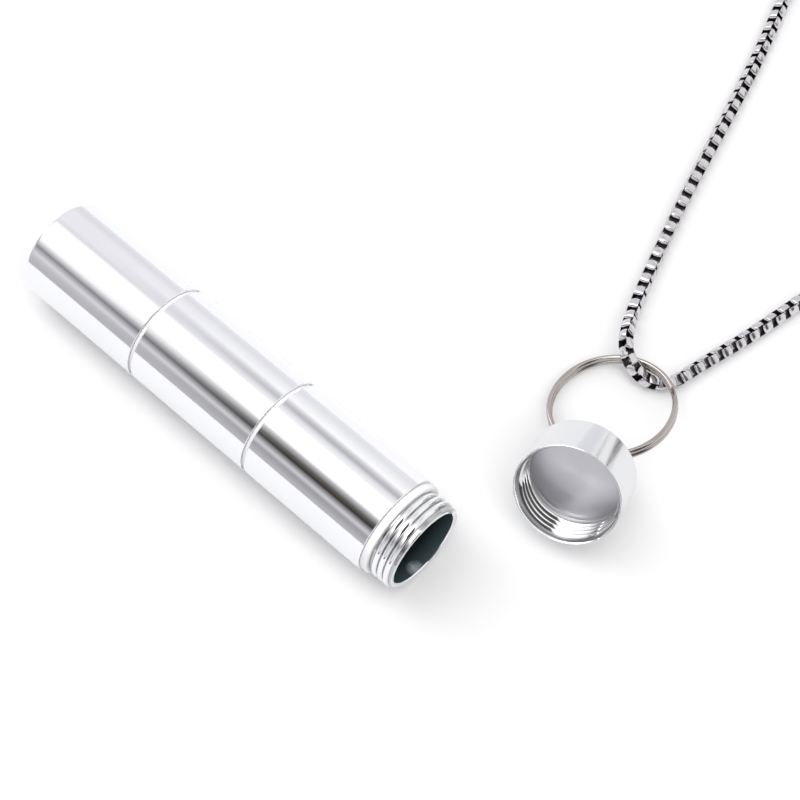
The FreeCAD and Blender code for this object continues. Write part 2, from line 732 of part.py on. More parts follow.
coil_count = round(coil_turns * COIL_POINTS_PER_TURN)
coil_points = [coil_point(coil_turns * i / coil_count) for i in range(coil_count)]
coil_exit = coil_point(coil_turns)
lead_out = [coil_exit + (clasp_end - coil_exit) * share for share in (0.15, 0.4)]
for point in lead_out:
    point.z = coil_exit.z
lead_out.append(clasp_end + clasp_along * 4 * size("link_width") / 2)
poles = [clasp_start] + on_table(RIGHT_ROUTE + RING_ROUTE + LEFT_ROUTE) + coil_points + lead_out + [clasp_end]
spans = len(poles) - 2
route = Part.BSplineCurve()
route.buildFromPolesMultsKnots(poles, [3] + [1] * (spans - 1) + [3], list(range(spans + 1)), False, 2)
chain_length = route.length()
link_pitch = size("link_length") - 2 * size("link_band_thickness") - size("link_slack")
link_count = 2 * round(chain_length / link_pitch / 2) + 1
link_points = route.toShape().discretize(Number=link_count)
print("chain length", round(chain_length, 1), "links", link_count, "pitch", chain_length / (link_count - 1))


def chain_links(first, last):
    """Links first to last, each turned a quarter against the one before it."""
    links = []
    for i in range(first, last):
        ahead = link_points[min(i + 1, link_count - 1)]
        behind = link_points[max(i - 1, 0)]
        turn = FreeCAD.Rotation(ahead - behind, Vector(), AXIS_Z, "XZY")
        if i % 2:
            turn = turn.multiply(FreeCAD.Rotation(AXIS_X, 90))
        link = chain_link.Shape.copy()
        link.Placement = FreeCAD.Placement(link_points[i], turn)
        links.append(link)
    return links


def nearest_link(point):
    return min(range(link_count), key=lambda i: (link_points[i] - point).Length)


bight_start = nearest_link(on_table(RIGHT_ROUTE)[-1])
bight_end = nearest_link(on_table(LEFT_ROUTE)[0])
coil_start = nearest_link(on_table(LEFT_ROUTE)[7])
least_bend = 1 / max(route.curvature(spans * i / 4000) for i in range(4001))
coil_gap = min(
    (link_points[i] - link_points[j]).Length - size("link_width")
    for i in range(coil_start, link_count)
    for j in range(i + 10, link_count)
)
print("least bend radius", round(least_bend, 2), "coil's least gap to itself", round(coil_gap, 2))
print("clasp pivot", pivot)
for label, first, last in (
    ("chain_right_strand", 0, bight_start),
    ("chain_bight", bight_start, bight_end),
    ("chain_left_strand", bight_end, coil_start),
    ("chain_coil", coil_start, link_count),
):
    node = doc.addObject("Part::Feature", label)
    node.Label = label
    node.Shape = Part.makeCompound(chain_links(first, last))
    NODES.append(node)

# Flat band round the coil's turns at one place
coil_tie = new_body("coil_tie")
coil_inner = coil_radius - size("coil_step") * inner_turn
tie_room = size("link_width") / 2 + size("tie_clearance")
tie_reach = (coil_radius - coil_inner) / 2 + tie_room
tie_rise = size("coil_layer_rise") / 2 + tie_room
band = new_sketch(coil_tie, "XZ_Plane", "band")
for grow in ("0", cell("tie_thickness")):
    across = f"({tie_reach} + {grow})"
    tall = f"({tie_rise} + {grow})"
    add_outline(band, [
        (f"-{across}", f"-{tall}"),
        (across, f"-{tall}"),
        (across, tall),
        (f"-{across}", tall),
    ])
extrude(coil_tie, band, cell("tie_width"))
tie_angle = math.radians(size("tie_angle"))
tie_middle = (coil_radius + coil_inner) / 2
tie_place = coil_centre + Vector(
    tie_middle * math.cos(tie_angle),
    tie_middle * math.sin(tie_angle),
    size("coil_layer_rise") / 2,
)
set_place(coil_tie, tie_place, (AXIS_Z, size("tie_angle")))

doc.recompute()
for item in doc.Objects:
    if "Invalid" in item.State or "Error" in item.State:
        raise RuntimeError(f"{item.Label} failed")
for node in NODES:
    if node.Shape.isNull() or not node.Shape.isValid():
        raise RuntimeError(f"{node.Label} has no valid shape")

os.makedirs("parts", exist_ok=True)
for node in NODES:
    node.Shape.exportStep(f"parts/{node.Label}.step")
    print(node.Label, len(node.Shape.Solids), round(node.Shape.Volume, 2))
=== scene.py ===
import math

import bpy
import numpy as np
from mathutils import Matrix, Vector


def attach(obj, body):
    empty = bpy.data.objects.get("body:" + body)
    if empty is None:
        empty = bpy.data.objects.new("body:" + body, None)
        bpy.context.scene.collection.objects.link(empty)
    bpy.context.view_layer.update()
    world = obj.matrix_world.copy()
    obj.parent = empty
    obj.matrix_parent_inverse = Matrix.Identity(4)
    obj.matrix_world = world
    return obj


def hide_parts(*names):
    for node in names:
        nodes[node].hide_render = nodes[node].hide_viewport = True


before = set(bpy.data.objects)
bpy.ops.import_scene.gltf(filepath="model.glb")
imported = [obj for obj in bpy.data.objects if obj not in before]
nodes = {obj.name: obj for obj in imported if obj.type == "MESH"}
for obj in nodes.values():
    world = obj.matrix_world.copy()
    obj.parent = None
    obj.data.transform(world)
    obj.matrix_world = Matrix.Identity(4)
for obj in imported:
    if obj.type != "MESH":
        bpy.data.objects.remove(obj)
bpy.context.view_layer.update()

# The camera looks down at the fob from the mouth's side, with a long lens from arm's length,
# so the tube runs from the upper left to the lower middle of a square picture.
camera_data = bpy.data.cameras.new("camera")
camera_data.lens = 100
camera_data.sensor_width = 36
camera_data.clip_start = 0.01
camera = bpy.data.objects.new("camera", camera_data)
bpy.context.scene.collection.objects.link(camera)
camera.location = (0.09682, -0.11177, 0.33979)
looked_at = Vector((-0.02183, 0.01789, 0.0))
camera.rotation_euler = (looked_at - camera.location).to_track_quat("-Z", "Y").to_euler()
bpy.context.scene.camera = camera

# Box chain: stainless band links, each through the last at a quarter turn. It comes in from the
# clasp to the split ring, passes through it and leaves, and the length that isn't seen is coiled
# on the table and tied. The links lean over a little along the strands, as a dropped chain does.
TABLE = -0.009525
CHAIN_WIDTH = 0.0028
LINK_LENGTH = 0.00226
LINK_WIDTH = 0.0025
LINK_CORNER = 0.0005
END_FACING = 0.95
BAND_WIDTH = 0.0016
BAND_THICKNESS = 0.00027
BAND_DOMING = 0.88
TABLE_GAP = 0.00005
LYING = TABLE + TABLE_GAP + CHAIN_WIDTH / 2
LINK_COUNT = 383
CLASP_START = Vector((0.0176, 0.0925, -0.007175))
CLASP_END = Vector((0.022294, 0.108449, -0.007175))
RIGHT_ROUTE = (
    (0.0164, 0.0884, 0.00075),
    (0.0148, 0.083, 0.0),
    (0.013, 0.0735, 0.0),
    (0.0106, 0.0645, 0.0),
    (0.00945, 0.05955, 0.0),
)
RING_ROUTE = (
    (0.00915, 0.0576, 0.0),
    (0.00835, 0.05575, 0.0),
    (0.00695, 0.05425, 0.0),
    (0.0054, 0.05315, 0.0005),
    (0.00395, 0.05255, 0.0016),
    (0.0021, 0.0525, 0.00275),
    (0.00005, 0.05325, 0.0036),
    (-0.00175, 0.0549, 0.00405),
    (-0.00315, 0.0573, 0.0035),
    (-0.00455, 0.0599, 0.00145),
)
LEFT_ROUTE = (
    (-0.0064, 0.0642, 0.0004),
    (-0.0089, 0.0712, 0.0),
    (-0.0118, 0.0798, 0.0),
    (-0.0143, 0.0876, 0.0),
    (-0.0177, 0.0998, 0.0),
    (-0.0211, 0.1122, 0.0),
    (-0.0248, 0.1244, 0.0),
    (-0.0286, 0.1354, 0.0),
    (-0.0314, 0.1445, 0.0001),
    (-0.0286, 0.153, 0.0003),
    (-0.0205, 0.1574, 0.0005),
    (-0.0105, 0.1582, 0.0007),
    (0.0, 0.1568, 0.0008),
)
COIL_CENTRE = Vector((0.01, 0.1335, LYING + 0.0008))
COIL_RADIUS = 0.021
COIL_STEP = 0.004
COIL_RISE = 0.0036
COIL_CORNERS = 12


def on_table(points):
    return [Vector((x, y, LYING + lift)) for x, y, lift in points]


def coil_corners():
    """Control points of the put-away coil: in on the table, up a layer, and out again. They lie
    outside the smooth curve by the outset."""
    to_clasp = CLASP_END - COIL_CENTRE
    bearing = math.atan2(to_clasp.y, to_clasp.x)
    leave = bearing + math.acos(COIL_RADIUS / math.hypot(to_clasp.x, to_clasp.y))
    turns = 3 + (math.pi / 2 - leave) / (2 * math.pi)
    count = round(turns * COIL_CORNERS)
    outset = 4 / (3 + math.cos(2 * math.pi / COIL_CORNERS))
    corners = []
    for i in range(count + 1):
        done = turns * i / count
        inward = turns / 2 - abs(done - turns / 2)
        radius = (COIL_RADIUS - COIL_STEP * inward) * outset
        rise = COIL_RISE * min(max((done - turns / 2) / 0.5 + 0.5, 0), 1)
        angle = math.pi / 2 - done * 2 * math.pi
        away = Vector((radius * math.cos(angle), radius * math.sin(angle), rise))
        corners.append(COIL_CENTRE + away)
    last = corners.pop()
    for share in (0.15, 0.4):
        corner = last.lerp(CLASP_END, share)
        corner.z = last.z
        corners.append(corner)
    along = (CLASP_END - CLASP_START).normalized()
    return corners + [CLASP_END + along * 2 * CHAIN_WIDTH, CLASP_END]


def smooth_curve(name, corners, order, resolution):
    """A smooth curve in space that has these control points."""
    curve = bpy.data.curves.new(name, "CURVE")
    curve.dimensions = "3D"
    spline = curve.splines.new("NURBS")
    spline.points.add(len(corners) - 1)
    for point, corner in zip(spline.points, corners):
        point.co = (*corner, 1)
    spline.order_u = order
    spline.use_endpoint_u = True
    spline.resolution_u = resolution
    return curve


def mesh_of_curve(curve):
    """The mesh of a curve, which isn't needed after that and is deleted."""
    holder = bpy.data.objects.new(curve.name, curve)
    bpy.context.scene.collection.objects.link(holder)
    mesh = bpy.data.meshes.new_from_object(holder)
    bpy.data.objects.remove(holder)
    bpy.data.curves.remove(curve)
    return mesh


def smooth_line(name, corners):
    """Points along the smooth curve that has these control points."""
    line = mesh_of_curve(smooth_curve(name, corners, order=3, resolution=16))
    points = np.array([vertex.co[:] for vertex in line.vertices])
    bpy.data.meshes.remove(line)
    return points


def pick_only(piece):
    """Select one piece alone and make it the active one."""
    bpy.ops.object.select_all(action="DESELECT")
    piece.select_set(True)
    bpy.context.view_layer.objects.active = piece


def select_where(piece, wanted):
    """Select the vertices of the piece in edit mode whose place passes the test."""
    bpy.ops.mesh.select_all(action="DESELECT")
    bpy.ops.object.mode_set(mode="OBJECT")
    for vertex in piece.data.vertices:
        vertex.select = wanted(vertex.co)
    bpy.ops.object.mode_set(mode="EDIT")


bpy.ops.object.select_all(action="DESELECT")
bpy.ops.mesh.primitive_plane_add(size=1)
link = bpy.context.object
link.scale = (LINK_LENGTH, LINK_WIDTH, 1)
bpy.ops.object.transform_apply(location=False, rotation=False, scale=True)
bpy.ops.object.mode_set(mode="EDIT")
bpy.ops.mesh.select_mode(type="VERT")
bpy.ops.mesh.select_all(action="SELECT")
bpy.ops.mesh.bevel(offset=LINK_CORNER, segments=2, affect="VERTICES")
bpy.ops.mesh.select_all(action="SELECT")
bpy.ops.mesh.inset(thickness=BAND_THICKNESS)
bpy.ops.mesh.delete(type="FACE")
bpy.ops.mesh.select_all(action="SELECT")
bpy.ops.mesh.extrude_region_move(TRANSFORM_OT_translate={"value": (0, 0, BAND_WIDTH)})
bpy.ops.mesh.select_all(action="SELECT")
bpy.ops.transform.translate(value=(0, 0, -BAND_WIDTH / 2))
bpy.ops.mesh.bisect(plane_co=(0, 0, 0), plane_no=(0, 0, 1))
outer_reach = (LINK_LENGTH + LINK_WIDTH) / 2 - LINK_CORNER - 0.4 * BAND_THICKNESS
select_where(link, lambda co: abs(co.z) > BAND_WIDTH / 4 and abs(co.x) + abs(co.y) > outer_reach)
bpy.ops.transform.resize(value=(BAND_DOMING, BAND_DOMING, 1), center_override=(0, 0, 0))
bpy.ops.mesh.select_all(action="SELECT")
bpy.ops.mesh.normals_make_consistent(inside=False)
bpy.ops.object.mode_set(mode="OBJECT")
link_corners = np.array([vertex.co[:] for vertex in link.data.vertices])
link_faces = [tuple(face.vertices) for face in link.data.polygons]
# The inside faces and end faces of each link take the near-black material: painted shade, with some
# tarnish.
tarnish_and_shade_faces = [
    int(face.normal.dot(face.center) < 0 or abs(face.normal.x) > END_FACING)
    for face in link.data.polygons
]
bpy.data.meshes.remove(link.data)

ring_side = on_table(RIGHT_ROUTE)[-1].lerp(on_table(RING_ROUTE)[0], 0.5)
short_line = smooth_line("short_line", [CLASP_START] + on_table(RIGHT_ROUTE) + [ring_side])
long_line = smooth_line(
    "long_line",
    [ring_side] + on_table(RING_ROUTE + LEFT_ROUTE) + coil_corners(),
)
chain_line = np.vstack([short_line, long_line[1:]])
line_steps = np.linalg.norm(np.diff(chain_line, axis=0), axis=1)
line_run = np.concatenate([[0], np.cumsum(line_steps)])
link_runs = np.linspace(0, line_run[-1], LINK_COUNT)
link_places = np.stack(
    [np.interp(link_runs, line_run, chain_line[:, axis]) for axis in range(3)], axis=1,
)
short_links = int(np.sum(link_runs <= line_run[len(short_line) - 1]))
LEAN_RUNS = (0.0, 0.009, 0.0315, 0.0375, 0.0415, 0.049, 0.058, 0.077, 0.11, 0.165)
LEANS = (0, -61, -38, -26, 6, 35, 67, 94, 123, 180)
link_leans = np.radians(np.interp(link_runs, LEAN_RUNS, LEANS))


def chain_of_links(name, first, last):
    """One mesh with the links from first to last, each a quarter turn from its neighbours."""
    corners = []
    faces = []
    for i in range(first, last):
        before = link_places[max(i - 1, 0)]
        after = link_places[min(i + 1, LINK_COUNT - 1)]
        ahead = Vector(after - before).normalized()
        side = Vector((0, 0, 1)).cross(ahead).normalized()
        turn = Matrix((ahead, side, ahead.cross(side))).transposed()
        turn = turn @ Matrix.Rotation(link_leans[i] + i % 2 * math.pi / 2, 3, "X")
        base = (i - first) * len(link_corners)
        corners.extend(link_corners @ np.array(turn).T + link_places[i])
        faces.extend(tuple(base + corner for corner in face) for face in link_faces)
    mesh = bpy.data.meshes.new(name)
    mesh.from_pydata(corners, [], faces)
    mesh.polygons.foreach_set("material_index", tarnish_and_shade_faces * (last - first))
    piece = bpy.data.objects.new(name, mesh)
    bpy.context.scene.collection.objects.link(piece)
    pick_only(piece)
    bpy.ops.object.shade_smooth_by_angle(angle=math.radians(50))
    return piece


def new_finish(name):
    """A material with only a Principled shader, and that shader."""
    material = bpy.data.materials.new(name)
    material.use_nodes = True
    return material, material.node_tree.nodes["Principled BSDF"]


def surface_group(name, numbers):
    """A node group with these numbers as its inputs, whose outputs are a tone, a roughness and a
    height. Its own nodes are still to be made."""
    group = bpy.data.node_groups.new(name, "ShaderNodeTree")
    for label, value in numbers:
        socket = group.interface.new_socket(label, in_out="INPUT", socket_type="NodeSocketFloat")
        socket.default_value = value
    for label in ("Tone", "Roughness", "Height"):
        group.interface.new_socket(label, in_out="OUTPUT", socket_type="NodeSocketFloat")
    return group, group.nodes.new("NodeGroupInput"), group.nodes.new("NodeGroupOutput")


def uneven_group():
    """Unevenness of a worked surface, from Object coordinates."""
    group, given, result = surface_group(
        "uneven_surface", (("Grain per Metre", 900.0), ("Roughness", 0.15), ("Spread", 0.05)),
    )
    place = group.nodes.new("ShaderNodeTexCoord")
    patches = group.nodes.new("ShaderNodeTexNoise")
    patches.inputs["Scale"].default_value = 260
    group.links.new(place.outputs["Object"], patches.inputs["Vector"])
    group.links.new(patches.outputs["Fac"], result.inputs["Tone"])
    grain = group.nodes.new("ShaderNodeTexNoise")
    grain.inputs["Detail"].default_value = 3
    spread = group.nodes.new("ShaderNodeMapRange")
    spread.inputs["To Min"].default_value = -1
    rough = group.nodes.new("ShaderNodeMath")
    rough.operation = "MULTIPLY_ADD"
    group.links.new(place.outputs["Object"], grain.inputs["Vector"])
    group.links.new(given.outputs["Grain per Metre"], grain.inputs["Scale"])
    group.links.new(grain.outputs["Fac"], spread.inputs["Value"])
    group.links.new(spread.outputs["Result"], rough.inputs[0])
    group.links.new(given.outputs["Spread"], rough.inputs[1])
    group.links.new(given.outputs["Roughness"], rough.inputs[2])
    group.links.new(rough.outputs["Value"], result.inputs["Roughness"])
    group.links.new(grain.outputs["Fac"], result.inputs["Height"])
    return group


uneven_surface = uneven_group()


def two_tones(tree, colour, share):
    """A mix of a colour and a darker share of it, which the factor blends to."""
    mix = tree.nodes.new("ShaderNodeMix")
    mix.data_type = "RGBA"
    mix.inputs["A"].default_value = (*(share * part for part in colour), 1)
    mix.inputs["B"].default_value = (*colour, 1)
    return mix


def place_surface(tree, shader, group, numbers, depth):
    """Put a surface group with its own numbers into a material, and wire its roughness and height."""
    surface = tree.nodes.new("ShaderNodeGroup")
    surface.node_tree = group
    for label, value in numbers.items():
        surface.inputs[label].default_value = value
    bump = tree.nodes.new("ShaderNodeBump")
    bump.inputs["Strength"].default_value = 1.0
    bump.inputs["Distance"].default_value = depth
    tree.links.new(surface.outputs["Roughness"], shader.inputs["Roughness"])
    tree.links.new(surface.outputs["Height"], bump.inputs["Height"])
    tree.links.new(bump.outputs["Normal"], shader.inputs["Normal"])
    return surface


def add_uneven(material, shader, colour, grain, roughness, spread, depth):
    """Wire the unevenness into a material's colour, roughness and bump."""
    tree = material.node_tree
    numbers = {"Grain per Metre": grain, "Roughness": roughness, "Spread": spread}
    uneven = place_surface(tree, shader, uneven_surface, numbers, depth)
    tones = two_tones(tree, colour, 0.88)
    tree.links.new(uneven.outputs["Tone"], tones.inputs["Factor"])
    tree.links.new(tones.outputs["Result"], shader.inputs["Base Color"])
    return tones


stainless, stainless_shader = new_finish("polished_stainless")
stainless_shader.inputs["Metallic"].default_value = 1
add_uneven(
    stainless, stainless_shader, colour=(0.72, 0.7, 0.72), grain=2200,
    roughness=0.16, spread=0.06, depth=0.000004,
)

# Near-black metal for the links' insides and ends: painted shade between the links, with some tarnish.
tarnish_and_shade, tarnish_and_shade_shader = new_finish("link_inside_tarnish_and_painted_shade")
tarnish_and_shade_shader.inputs["Metallic"].default_value = 1
add_uneven(
    tarnish_and_shade, tarnish_and_shade_shader, colour=(0.06, 0.055, 0.055), grain=2200,
    roughness=0.4, spread=0.1, depth=0.000006,
)

chain_short = chain_of_links("chain_short", 0, short_links)
chain_long = chain_of_links("chain_long", short_links, LINK_COUNT)
for piece, line, kept, on_it in (
    (chain_short, short_line, ("chain_right_strand",), ("clasp_end_ring",)),
    (chain_long, long_line, ("chain_bight", "chain_left_strand", "chain_coil"),
     ("coil_tie", "clasp_body", "clasp_lever", "clasp_pin", "clasp_spring", "clasp_jump_ring")),
):
    piece.data.materials.append(stainless)
    piece.data.materials.append(tarnish_and_shade)
    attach(piece, "necklace")
    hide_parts(*kept)

# Tube chambers: polished aluminium, turned on a lathe with a threaded neck at one end and a socket
# or a closed, rounded end at the other. Each neck screws into the next chamber's socket.
TUBE_RADIUS = 0.009525
BODY_LENGTH = 0.0265
NECK_LENGTH = 0.0062
BORE_RADIUS = 0.00735
SEAT_RADIUS = 0.0079
SEAT_LENGTH = 0.00134
CORE_RADIUS = 0.00825
CREST_RADIUS = 0.00875
PITCH = 0.00127
SOCKET_DEPTH = 0.0074
NUT_RADIUS = 0.0084
RELIEF_RADIUS = 0.00895
RECESS_RADIUS = 0.00925
RECESS_DEPTH = 0.00055
EDGE = 0.0001
RIM_EDGE = 0.0002
BASE_ROUNDING = 0.0009
BASE_FLOOR = 0.0016
WEB = 0.001
THREAD_SINK = 0.0001
THREAD_START = 0.0006
THREAD_STOP = 0.0009
BORE_MARGIN = 0.00002
FLOOR_MARGIN = 0.0001
RIM_MARGIN = 0.00015
CHAMBER_STEP = 0.02729
STEPS_ROUND = 144


def wire_outline(name, corners):
    """An open wire drawn corner by corner in the XY plane, as a new object in edit mode."""
    bpy.ops.object.select_all(action="DESELECT")
    bpy.ops.mesh.primitive_plane_add(size=0.001)
    piece = bpy.context.object
    piece.name = name
    piece.data.name = name
    bpy.ops.object.mode_set(mode="EDIT")
    bpy.ops.mesh.select_mode(type="VERT")
    bpy.ops.mesh.select_all(action="SELECT")
    bpy.ops.mesh.merge(type="CENTER")
    bpy.ops.transform.translate(value=(*corners[0], 0))
    for near, far in zip(corners, corners[1:]):
        step = (far[0] - near[0], far[1] - near[1], 0)
        bpy.ops.mesh.extrude_vertices_move(TRANSFORM_OT_translate={"value": step})
    return piece


def lathe(name, corners, closed=False):
    """Turn an outline of (x, radius) corners about the X axis."""
    if closed:
        corners = corners + corners[:1]
    piece = wire_outline(name, corners)
    bpy.ops.mesh.select_all(action="SELECT")
    bpy.ops.mesh.spin(steps=STEPS_ROUND, angle=2 * math.pi, center=(0, 0, 0), axis=(1, 0, 0))
    bpy.ops.mesh.select_all(action="SELECT")
    bpy.ops.mesh.remove_doubles(threshold=1e-6)
    bpy.ops.mesh.normals_make_consistent(inside=False)
    bpy.ops.object.mode_set(mode="OBJECT")
    return piece


def arc(x, radius, bend, start, stop, steps):
    """Corners of a rounded edge about a middle at (x, radius), between two angles in degrees."""
    angles = [math.radians(start + (stop - start) * i / steps) for i in range(steps + 1)]
    return [(x + bend * math.cos(angle), radius + bend * math.sin(angle)) for angle in angles]


def move_to_radius(vertex, radius):
    """Move a vertex straight out from the X axis, or in, to this radius."""
    reach = math.hypot(vertex.co.y, vertex.co.z)
    vertex.co.y *= radius / reach
    vertex.co.z *= radius / reach


def helix(name, corners, rise, pitch):
    """Sweep a closed outline of (x, radius) corners along a right-handed helix about the X axis. The
    ridge runs out to the radius of the first corner over a sixth of a turn at both ends."""
    piece = wire_outline(name, corners + corners[:1])
    bpy.ops.mesh.select_all(action="SELECT")
    bpy.ops.mesh.remove_doubles(threshold=1e-6)
    bpy.ops.object.mode_set(mode="OBJECT")
    turns = rise / pitch
    sweep = piece.modifiers.new("sweep", "SCREW")
    sweep.axis = "X"
    sweep.angle = 2 * math.pi * turns
    sweep.screw_offset = rise
    sweep.steps = round(STEPS_ROUND * turns)
    sweep.render_steps = sweep.steps
    bpy.ops.object.modifier_apply(modifier="sweep")
    steps = len(piece.data.vertices) // len(corners) - 1
    for vertex in piece.data.vertices:
        step = vertex.index // len(corners)
        height = min(1, 6 * min(step, steps - step) / STEPS_ROUND)
        reach = math.hypot(vertex.co.y, vertex.co.z)
        move_to_radius(vertex, corners[0][1] + (reach - corners[0][1]) * height)
    bpy.ops.object.mode_set(mode="EDIT")
    bpy.ops.mesh.select_all(action="DESELECT")
    bpy.ops.mesh.select_mode(type="EDGE")
    bpy.ops.mesh.select_non_manifold()
    bpy.ops.mesh.edge_face_add()
    bpy.ops.mesh.select_all(action="SELECT")
    bpy.ops.mesh.normals_make_consistent(inside=False)
    bpy.ops.object.mode_set(mode="OBJECT")
    return piece


def finish_metal(piece, width):
    """Break the sharp edges and smooth what is left."""
    pick_only(piece)
    edges = piece.modifiers.new("edges", "BEVEL")
    edges.width = width
    edges.segments = 2
    edges.limit_method = "ANGLE"
    edges.angle_limit = math.radians(40)
    bpy.ops.object.modifier_apply(modifier="edges")
    bpy.ops.object.shade_smooth_by_angle(angle=math.radians(35))
    flats = piece.modifiers.new("flats", "WEIGHTED_NORMAL")
    flats.keep_sharp = True
    bpy.ops.object.modifier_apply(modifier="flats")


def join_to(piece, other):
    pick_only(piece)
    other.select_set(True)
    bpy.ops.object.join()


def neck_thread(name):
    """Tooth of a neck's thread, from the seal's seat to the rim."""
    middle = BODY_LENGTH + SEAT_LENGTH + THREAD_START
    low = CORE_RADIUS - THREAD_SINK
    depth = CREST_RADIUS - low
    bead = [(0.00062, 0.0), (0.00052, 0.5), (0.00034, 0.85), (0.00012, 1.0)]
    corners = [(middle - away, low + share * depth) for away, share in bead]
    corners += [(middle + away, low + share * depth) for away, share in reversed(bead)]
    thread = helix(name, corners, NECK_LENGTH - SEAT_LENGTH - THREAD_STOP, PITCH)
    rim = BODY_LENGTH + NECK_LENGTH
    for vertex in thread.data.vertices:
        lead = CORE_RADIUS - THREAD_SINK + rim - vertex.co.x
        if math.hypot(vertex.co.y, vertex.co.z) > lead:
            move_to_radius(vertex, lead)
    finish_metal(thread, width=0.00005)
    return thread


def bore_floor(closed):
    """Where a chamber's bore ends, measured from its far end."""
    return BASE_FLOOR if closed else SOCKET_DEPTH + WEB


def chamber(name, origin, closed):
    """A chamber with its far end at the origin and its neck towards +X."""
    rim = BODY_LENGTH + NECK_LENGTH
    neck = [
        (BODY_LENGTH - EDGE, TUBE_RADIUS),
        (BODY_LENGTH, TUBE_RADIUS - EDGE),
        (BODY_LENGTH, SEAT_RADIUS),
        (BODY_LENGTH + SEAT_LENGTH, SEAT_RADIUS),
        (BODY_LENGTH + SEAT_LENGTH, CORE_RADIUS),
        (rim - RIM_EDGE, CORE_RADIUS),
        (rim, CORE_RADIUS - THREAD_SINK),
        (rim, BORE_RADIUS + RIM_EDGE),
        (rim - RIM_EDGE, BORE_RADIUS),
    ]
    if closed:
        rounding = arc(BASE_ROUNDING, TUBE_RADIUS - BASE_ROUNDING, BASE_ROUNDING, 180, 90, 8)
        far = [(0, 0.0)] + rounding
    else:
        far = [
            (SOCKET_DEPTH, 0.0),
            (SOCKET_DEPTH, RELIEF_RADIUS),
            (RECESS_DEPTH, RELIEF_RADIUS),
            (RECESS_DEPTH, RECESS_RADIUS),
            (0, RECESS_RADIUS),
            (0, TUBE_RADIUS - EDGE),
            (EDGE, TUBE_RADIUS),
        ]
    floor = bore_floor(closed)
    piece = lathe(name, far + neck + [(floor, BORE_RADIUS), (floor, 0.0)])
    finish_metal(piece, width=0.00004)
    join_to(piece, neck_thread(name + "_thread"))
    piece.data.transform(Matrix.Translation((origin, 0, 0)))
    return piece


def turned_group():
    """Fine grooves left by the lathe, and faint handling marks."""
    group, given, result = surface_group(
        "turned_surface",
        (("Axial Place", 0.0), ("Radius", 0.0), ("Grooves per Metre", 9000.0), ("Roughness", 0.1),
         ("Spread", 0.05)),
    )
    both = group.nodes.new("ShaderNodeMath")
    both.operation = "ADD"
    grooves = group.nodes.new("ShaderNodeTexNoise")
    grooves.noise_dimensions = "1D"
    grooves.inputs["Detail"].default_value = 4
    marks = group.nodes.new("ShaderNodeTexNoise")
    marks.inputs["Scale"].default_value = 160
    marks.inputs["Detail"].default_value = 5
    place = group.nodes.new("ShaderNodeTexCoord")
    spread = group.nodes.new("ShaderNodeMath")
    spread.operation = "MULTIPLY_ADD"
    group.links.new(given.outputs["Axial Place"], both.inputs[0])
    group.links.new(given.outputs["Radius"], both.inputs[1])
    group.links.new(both.outputs["Value"], grooves.inputs["W"])
    group.links.new(given.outputs["Grooves per Metre"], grooves.inputs["Scale"])
    group.links.new(place.outputs["Object"], marks.inputs["Vector"])
    group.links.new(marks.outputs["Fac"], spread.inputs[0])
    group.links.new(marks.outputs["Fac"], result.inputs["Tone"])
    group.links.new(given.outputs["Spread"], spread.inputs[1])
    group.links.new(given.outputs["Roughness"], spread.inputs[2])
    group.links.new(spread.outputs["Value"], result.inputs["Roughness"])
    group.links.new(grooves.outputs["Fac"], result.inputs["Height"])
    return group


turned_surface = turned_group()


def fill_ramp(ramp, stops):
    """Give a colour ramp its stops, each a place from 0 to 1 and a colour."""
    elements = ramp.color_ramp.elements
    while len(elements) < len(stops):
        elements.new(0.5)
    for element, (place, colour) in zip(elements, stops):
        element.position = place
        element.color = (*colour, 1)


def product(tree, first, second):
    """One colour multiplied by another."""
    mix = tree.nodes.new("ShaderNodeMix")
    mix.data_type = "RGBA"
    mix.blend_type = "MULTIPLY"
    mix.inputs["Factor"].default_value = 1
    tree.links.new(first, mix.inputs["A"])
    tree.links.new(second, mix.inputs["B"])
    return mix.outputs["Result"]


RAMP_SCALE = 100


